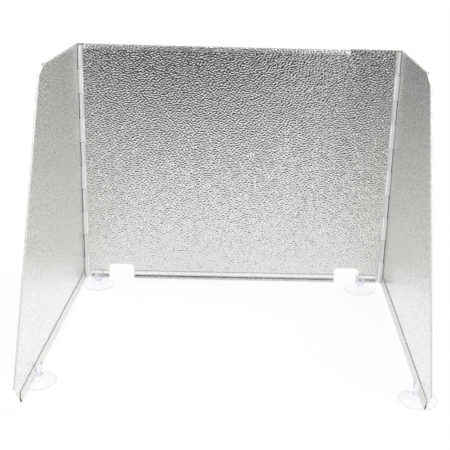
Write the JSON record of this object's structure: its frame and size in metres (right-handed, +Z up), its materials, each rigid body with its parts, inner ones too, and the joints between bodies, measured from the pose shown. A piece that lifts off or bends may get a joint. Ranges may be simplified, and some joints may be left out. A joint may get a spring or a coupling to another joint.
{
  "type": "stove windscreen",
  "caption": "Folding three-panel windscreen of embossed aluminium sheet with rolled pin hinges, standing on clear suction cups that grip its bottom hems.",
  "frame": {"origin": "midway between the two hinge axes, on the surface that the suction cups stand on", "axes": "+Z up, +X along the centre panel to the right seen from the open side, +Y to the back, so the side panels run forward along -Y"},
  "size_m": [0.3893, 0.296, 0.2854],
  "materials": {
    "embossed_sheet": "bright mill finish, stucco embossed",
    "pin_wire": "drawn wire",
    "clear_vinyl": "clear, glossy and soft"
  },
  "bodies": {
    "centre": {"centre_panel": "embossed_sheet", "left_hinge_pin": "pin_wire", "right_hinge_pin": "pin_wire"},
    "left_side": {"left_panel": "embossed_sheet"},
    "right_side": {"right_panel": "embossed_sheet"},
    "rear_left_foot": {"rear_left_cup": "clear_vinyl"},
    "rear_right_foot": {"rear_right_cup": "clear_vinyl"},
    "front_left_foot": {"front_left_cup": "clear_vinyl"},
    "front_right_foot": {"front_right_cup": "clear_vinyl"}
  },
  "joints": [
    {"name": "left_hinge", "type": "hinge", "parent": "centre", "child": "left_side", "pos_m": [-0.175, 0, 0.1469], "axis": [0, 0, 1], "range_deg": [-86, 46]},
    {"name": "right_hinge", "type": "hinge", "parent": "centre", "child": "right_side", "pos_m": [0.175, 0, 0.1469], "axis": [0, 0, -1], "range_deg": [-90, 72]},
    {"name": "rear_left_slide", "type": "slide", "parent": "centre", "child": "rear_left_foot", "axis": [1, 0, 0], "range_m": [-0.003, 0.008]},
    {"name": "rear_right_slide", "type": "slide", "parent": "centre", "child": "rear_right_foot", "axis": [-1, 0, 0], "range_m": [-0.006, 0.001]},
    {"name": "front_left_slide", "type": "slide", "parent": "left_side", "child": "front_left_foot", "axis": [-0.0436, -0.999, 0], "range_m": [-0.15, 0.04]},
    {"name": "front_right_slide", "type": "slide", "parent": "right_side", "child": "front_right_foot", "axis": [-0.0349, -0.9994, 0], "range_m": [-0.165, 0.02]}
  ]
}
